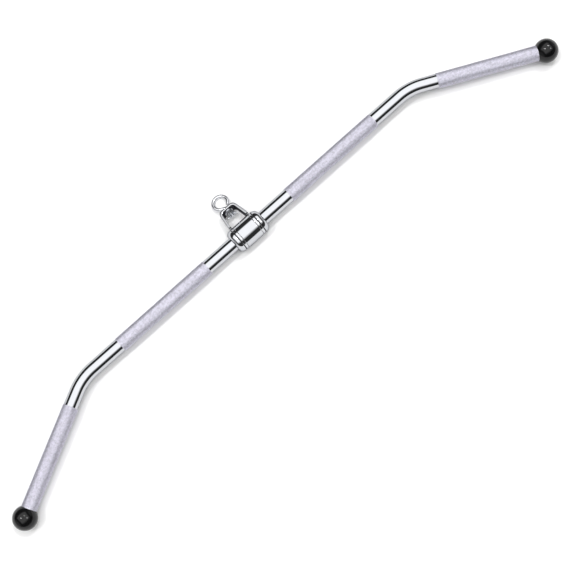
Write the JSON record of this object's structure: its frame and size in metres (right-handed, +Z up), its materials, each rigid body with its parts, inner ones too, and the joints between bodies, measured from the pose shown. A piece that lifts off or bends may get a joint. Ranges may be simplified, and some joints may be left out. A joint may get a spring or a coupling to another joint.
{
  "type": "lat pulldown bar",
  "caption": "Bent chromed lat pulldown bar with knurled grips, ball end caps and a revolving hanger whose swivel eye takes a cable's snap hook.",
  "frame": {"origin": "bottom centre of the bounding box, on the surface that the bar lies on", "axes": "+X runs along the bar's straight middle, +Y from the bar towards the eye, +Z up; the arms bend towards -Y and the hanger lies towards +Y, tilted down until its crown meets the surface"},
  "size_m": [1.2206, 0.2264, 0.044],
  "materials": {
    "chrome": "mirror-polished chrome plate",
    "knurled_steel": "fine crosshatch knurl under matte chrome",
    "black_rubber": "smooth glossy black rubber",
    "bronze": "sintered, oiled",
    "black_nylon": "matte",
    "zinc_steel": "bright zinc plate",
    "black_steel": "black oxide"
  },
  "bodies": {
    "bar": {"bar_tube": "chrome", "inner_grip_left": "knurled_steel", "inner_grip_right": "knurled_steel", "outer_grip_left": "knurled_steel", "outer_grip_right": "knurled_steel", "ball_cap_left": "black_rubber", "ball_cap_right": "black_rubber", "stop_collar_left": "chrome", "stop_collar_right": "chrome", "grub_screw_left": "black_steel", "grub_screw_right": "black_steel", "thrust_washer_left": "black_nylon", "thrust_washer_right": "black_nylon"},
    "hanger": {"hub_barrel": "chrome", "bush_left": "bronze", "bush_right": "bronze", "hanger_bracket": "chrome", "swivel_washer": "zinc_steel"},
    "eye": {"eyebolt": "chrome", "castle_nut": "zinc_steel", "split_pin": "zinc_steel"}
  },
  "joints": [
    {"name": "hanger_revolve", "type": "hinge", "parent": "bar", "child": "hanger", "pos_m": [0, 0.02058, 0.022], "axis": [1, 0, 0], "continuous": true},
    {"name": "eye_swivel", "type": "hinge", "parent": "hanger", "child": "eye", "pos_m": [0, 0.07912, 0.00979], "axis": [0, 0.9789, -0.2042], "continuous": true}
  ]
}
